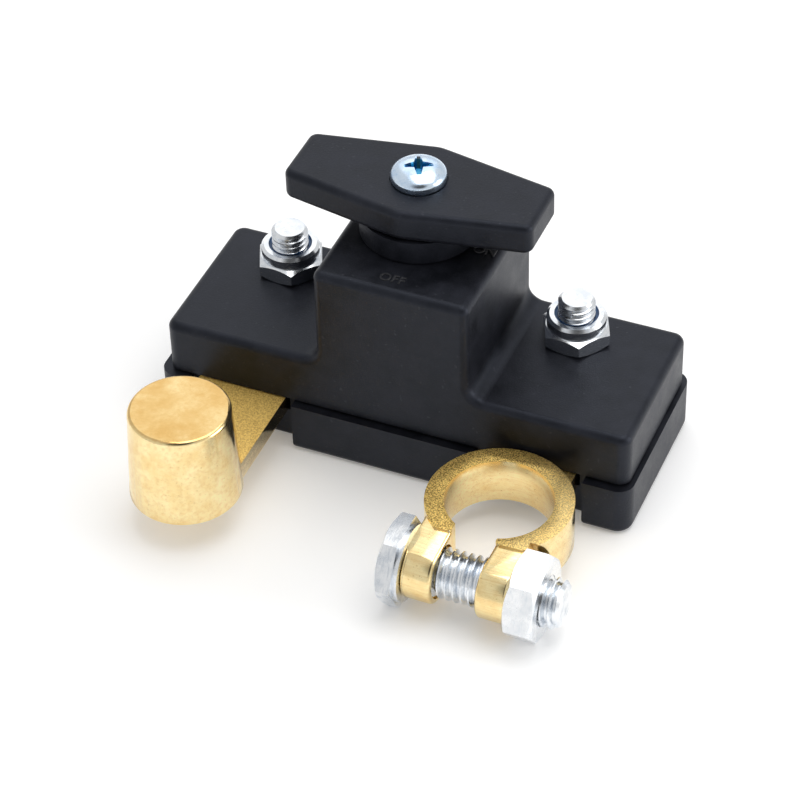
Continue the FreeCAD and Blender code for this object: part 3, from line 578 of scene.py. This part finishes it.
def casting(node, name):
    """A CAD node's shape with its faces welded and its sharp edges eased."""
    piece = bpy.data.objects.new(name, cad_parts[node].data.copy())
    bpy.context.scene.collection.objects.link(piece)
    pick(piece)
    bpy.ops.mesh.customdata_custom_splitnormals_clear()
    bpy.ops.object.mode_set(mode="EDIT")
    bpy.ops.mesh.select_all(action="SELECT")
    bpy.ops.mesh.remove_doubles(threshold=WELD)
    bpy.ops.mesh.dissolve_limited(angle_limit=FLAT)
    bpy.ops.object.mode_set(mode="OBJECT")
    if node == "clamp_terminal":
        round_ears(piece)
    apply_change(piece, "BEVEL", width=EDGE_EASE, segments=2, limit_method="ANGLE",
                 angle_limit=CORNER, use_clamp_overlap=True)
    return settle(piece, name)


LEVEL_REACH = 0.00025
TILT_EDGE, TILT_FLAT = 0.55, 0.9


def skin_mask(tree, levels):
    """1 on the upward faces that lie at the given levels, where the casting skin is left."""
    place = fit_node(tree, "SeparateXYZ", {0: fit_node(tree, "TexCoord").outputs["Object"]})
    way = fit_node(tree, "SeparateXYZ", {0: fit_node(tree, "NewGeometry").outputs["Normal"]})
    total = 0.0
    for level in levels:
        near = fit_node(tree, "Math", {0: place.outputs["Z"], 1: level, 2: LEVEL_REACH},
                        operation="COMPARE").outputs[0]
        total = fit_node(tree, "Math", {0: near, 1: total}, operation="ADD").outputs[0]
    upward = spread(tree, way.outputs["Z"], TILT_EDGE, TILT_FLAT)
    return fit_node(tree, "Math", {0: total, 1: upward}, operation="MULTIPLY").outputs[0]


BAR_LEVEL = 0.0092
RING_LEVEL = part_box("clamp_terminal")[1].z
POST_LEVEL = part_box("post_terminal")[1].z
RING_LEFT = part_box("clamp_terminal")[0].x
RING_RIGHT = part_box("clamp_terminal")[1].x
# Casting skin left at the ring's right end; the skin fades there towards the pale polished tone as
# a painted highlight where light falls from the right.
RING_LIT_END_SKIN = 0.6
CASTINGS = {
    # The post's skin tone is a paler copy of the clamp's: painted light on the bar top, where light
    # from above falls.
    "post_terminal": {"name": "battery_post", "stretch": (1400.0, 1400.0, 1400.0),
                      "skin_levels": (BAR_LEVEL,), "skin_tone_and_painted_light": (0.58, 0.33, 0.07, 1),
                      "skin_metal": 0.15},
    "clamp_terminal": {"name": "battery_clamp", "stretch": (160.0, 2600.0, 2600.0),
                       "skin_levels": (BAR_LEVEL, RING_LEVEL), "skin_tone_and_painted_light": (0.17, 0.075, 0.012, 1),
                       "skin_metal": 0.75}}

for node, cast in CASTINGS.items():
    finish, tree, shader, pattern = patterned(
        cast["name"] + "_brass", cast_brass, depth=0.0001, metallic=1.0, Stretch=cast["stretch"],
        Skin_Deep=cast["skin_tone_and_painted_light"], Gloss=0.16)
    skin = skin_mask(tree, cast["skin_levels"])
    if node == "clamp_terminal":
        # The ring's skin fades towards its right end: a painted highlight on the side where light
        # falls from the right.
        across = fit_node(tree, "SeparateXYZ", {0: fit_node(tree, "TexCoord").outputs["Object"]})
        lit_end = spread(tree, across.outputs["X"], (RING_LEFT + RING_RIGHT) / 2, RING_RIGHT, 1,
                      RING_LIT_END_SKIN)
        skin = fit_node(tree, "Math", {0: skin, 1: lit_end}, operation="MULTIPLY").outputs[0]
    tree.links.new(skin, pattern.inputs["Skin"])
    tree.links.new(spread(tree, skin, 0, 1, 1, cast["skin_metal"]), shader.inputs["Metallic"])
    if node == "post_terminal":
        tree.links.new(skin_mask(tree, (POST_LEVEL,)), pattern.inputs["Tarnish"])
    piece = casting(node, cast["name"])
    dress(piece, finish)
    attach(piece, "housing")
    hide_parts(node)


# The clamp bolt, nut and washer
# An M8 bolt with a thin hexagon head crosses the clamp's ears and draws them together. Its thread
# shows between the ears and past the thin nut, and all three are bright zinc-plated steel.

BOLT_RADIUS = 0.00393
BOLT_PITCH = 0.00125
BOLT_FLATS = 0.0128
BOLT_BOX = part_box("clamp_bolt")
BOLT_LENGTH = BOLT_BOX[1].x - BOLT_BOX[0].x
BOLT_BURIED = 0.0004
BOLT_CHAMFER = 0.0007
HEAD_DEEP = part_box("clamp_washer")[0].x - BOLT_BOX[0].x

bolt_finish = patterned("bolt_zinc", plated_steel, depth=0.000008, metallic=1.0,
                        Bright=(0.90, 0.92, 0.94, 1), Shade=(0.48, 0.54, 0.62, 1),
                        Stretch=(3600.0, 500.0, 500.0), Gloss=0.2)[0]
bolt = threaded_rod(BOLT_RADIUS, BOLT_PITCH, HEAD_DEEP - BOLT_BURIED, BOLT_LENGTH, BOLT_CHAMFER)
shape_with(bolt, hexagon_head(BOLT_FLATS, 0, HEAD_DEEP), "UNION")
weld(bolt)
middle = (BOLT_BOX[0] + BOLT_BOX[1]) / 2
settle(bolt, "threaded_clamp_bolt", (BOLT_BOX[0].x, middle.y, middle.z), (0, math.pi / 2, 0))
dress(bolt, bolt_finish)
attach(bolt, "housing")
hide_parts("clamp_bolt")
dress(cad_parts["clamp_nut"],
      patterned("thin_nut_zinc", plated_steel, depth=0.000006, metallic=1.0,
                Bright=(0.92, 0.93, 0.94, 1), Shade=(0.74, 0.78, 0.82, 1),
                Stretch=(2600.0, 700.0, 700.0), Gloss=0.24)[0])
dress(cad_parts["clamp_washer"],
      patterned("washer_zinc", plated_steel, depth=0.000006, metallic=1.0,
                Stretch=(1500.0, 1500.0, 1500.0), Gloss=0.26)[0])


# The handle screw
# A pan-head M4 screw with a cross recess, pressed in steel and plated in blue zinc. It holds the
# handle on the square stem, and its recess lies across the way the camera looks.

SCREW_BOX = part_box("handle_screw")
PAN_HEIGHT = 0.0032
PAN_RADIUS = 0.0044
PAN_FOOT = 0.0042
PAN_EDGE = 0.0013
PAN_SUNK = 0.0003
PAN_STEPS = 9
SCREW_SEAT = SCREW_BOX[1].z - PAN_HEIGHT
SHANK_RADIUS = 0.00195
SHANK_PITCH = 0.0007
SHANK_CHAMFER = 0.0001
ARM_LENGTH, ARM_WIDTH, ARM_DEEP = 0.0050, 0.0017, 0.0017
ARM_FLOOR = 0.42
ARM_TIP = 0.35


def narrow(piece, chosen, value):
    """Scales, about the middle, the vertices that a test of their place chooses."""
    bpy.ops.mesh.select_all(action="DESELECT")
    shape = bmesh.from_edit_mesh(piece.data)
    for vertex in shape.verts:
        vertex.select_set(chosen(vertex.co))
    bmesh.update_edit_mesh(piece.data)
    bpy.ops.transform.resize(value=value, center_override=(0, 0, 0))


pan = [(0, -PAN_SUNK), (PAN_FOOT, -PAN_SUNK)]
for step in range(PAN_STEPS):
    lean = math.pi / 2 * step / PAN_STEPS
    pan.append((PAN_RADIUS * math.cos(lean), PAN_EDGE + (PAN_HEIGHT - PAN_EDGE) * math.sin(lean)))
pan.append((0, PAN_HEIGHT))
screw = lathe([(radius, SCREW_SEAT + rise) for radius, rise in pan])
for turn in (0, math.pi / 2):
    bpy.ops.mesh.primitive_cube_add(size=1, location=(0, 0, SCREW_BOX[1].z))
    arm = bpy.context.object
    arm.scale = (ARM_LENGTH, ARM_WIDTH, 2 * ARM_DEEP)
    bpy.ops.object.transform_apply(location=True, rotation=True, scale=True)
    bpy.ops.object.mode_set(mode="EDIT")
    bpy.ops.mesh.select_all(action="SELECT")
    bpy.ops.mesh.subdivide(number_cuts=1)
    narrow(arm, lambda spot: abs(spot.x) > ARM_LENGTH / 3, (1, ARM_TIP, 1))
    narrow(arm, lambda spot: spot.z < SCREW_BOX[1].z - ARM_DEEP / 2, (ARM_FLOOR, 1, 1))
    bpy.ops.mesh.select_all(action="SELECT")
    bpy.ops.mesh.quads_convert_to_tris(quad_method="FIXED", ngon_method="CLIP")
    bpy.ops.object.mode_set(mode="OBJECT")
    arm.rotation_euler = (0, 0, CAMERA_TURN + turn)
    shape_with(screw, arm, "DIFFERENCE")
shank = threaded_rod(SHANK_RADIUS, SHANK_PITCH, SCREW_BOX[0].z, SCREW_SEAT, SHANK_CHAMFER)
shape_with(screw, shank, "UNION")
weld(screw)
settle(screw, "pan_head_screw", smooth=24)

# The cross recess is painted a darker blue than the head: the blue is the plating's own, the
# darkness is painted shade in the recess.
RECESS_SHADE_BLUE = (0.07, 0.34, 0.54, 1)
RECESS_LIP, RECESS_DEEP = 0.00012, 0.0004
RECESS_INNER, RECESS_OUTER = 0.0024, 0.0025
DOME_FALL = 60.0

finish, tree, shader, pattern = patterned(
    "screw_blue_zinc", plated_steel, depth=0.000004, metallic=1.0, Bright=(0.74, 0.86, 0.98, 1),
    Shade=(0.48, 0.66, 0.90, 1), Stretch=(900.0, 900.0, 900.0), Gloss=0.2)
place = fit_node(tree, "SeparateXYZ", {0: fit_node(tree, "TexCoord").outputs["Object"]})
across = fit_node(tree, "Math", {0: place.outputs["X"], 1: place.outputs["X"]},
                  operation="MULTIPLY").outputs[0]
across = fit_node(tree, "Math", {0: place.outputs["Y"], 1: place.outputs["Y"], 2: across},
                  operation="MULTIPLY_ADD").outputs[0]
dome = fit_node(tree, "Math", {0: across, 1: -DOME_FALL, 2: SCREW_BOX[1].z},
                operation="MULTIPLY_ADD")
depth = fit_node(tree, "Math", {0: dome.outputs[0], 1: place.outputs["Z"]}, operation="SUBTRACT")
# This mask picks the inside of the cross recess, where painted shade darkens the blue.
recess_shade = spread(tree, depth.outputs[0], RECESS_LIP, RECESS_DEEP)
inside = spread(tree, across, RECESS_OUTER ** 2, RECESS_INNER ** 2)
recess_shade = fit_node(tree, "Math", {0: recess_shade, 1: inside}, operation="MULTIPLY").outputs[0]
tree.links.new(mix_colours(tree, recess_shade, pattern.outputs["Colour"], RECESS_SHADE_BLUE),
               shader.inputs["Base Color"])
dress(screw, finish)
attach(screw, "rotor")
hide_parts("handle_screw")


# The contacts, the spring and the seal
# Copper strips with pressed buttons and a sprung copper bridge, all dull from handling, a coil
# spring of drawn square wire, and a rubber ring on the stem. They are shut inside the housing.

copper_finish = patterned("worked_copper", plated_steel, depth=0.000006, metallic=1.0,
                          Bright=(0.80, 0.42, 0.26, 1), Shade=(0.50, 0.22, 0.12, 1),
                          Stretch=(300.0, 2600.0, 2600.0), Gloss=0.3)[0]
for name in ("fixed_contact_left", "fixed_contact_right", "contact_bridge"):
    dress(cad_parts[name], copper_finish)
dress(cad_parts["contact_spring"],
      patterned("drawn_wire", plated_steel, depth=0.000005, metallic=1.0,
                Bright=(0.62, 0.62, 0.63, 1), Shade=(0.35, 0.36, 0.38, 1),
                Stretch=(1200.0, 1200.0, 4000.0), Gloss=0.28)[0])
dress(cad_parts["shaft_seal"],
      patterned("seal_rubber", moulded_grain, depth=0.00001, Deep_Tone=(0.006, 0.006, 0.006, 1),
                Pale_Tone=(0.014, 0.014, 0.014, 1), Grain=2200.0, Gloss=0.6)[0])
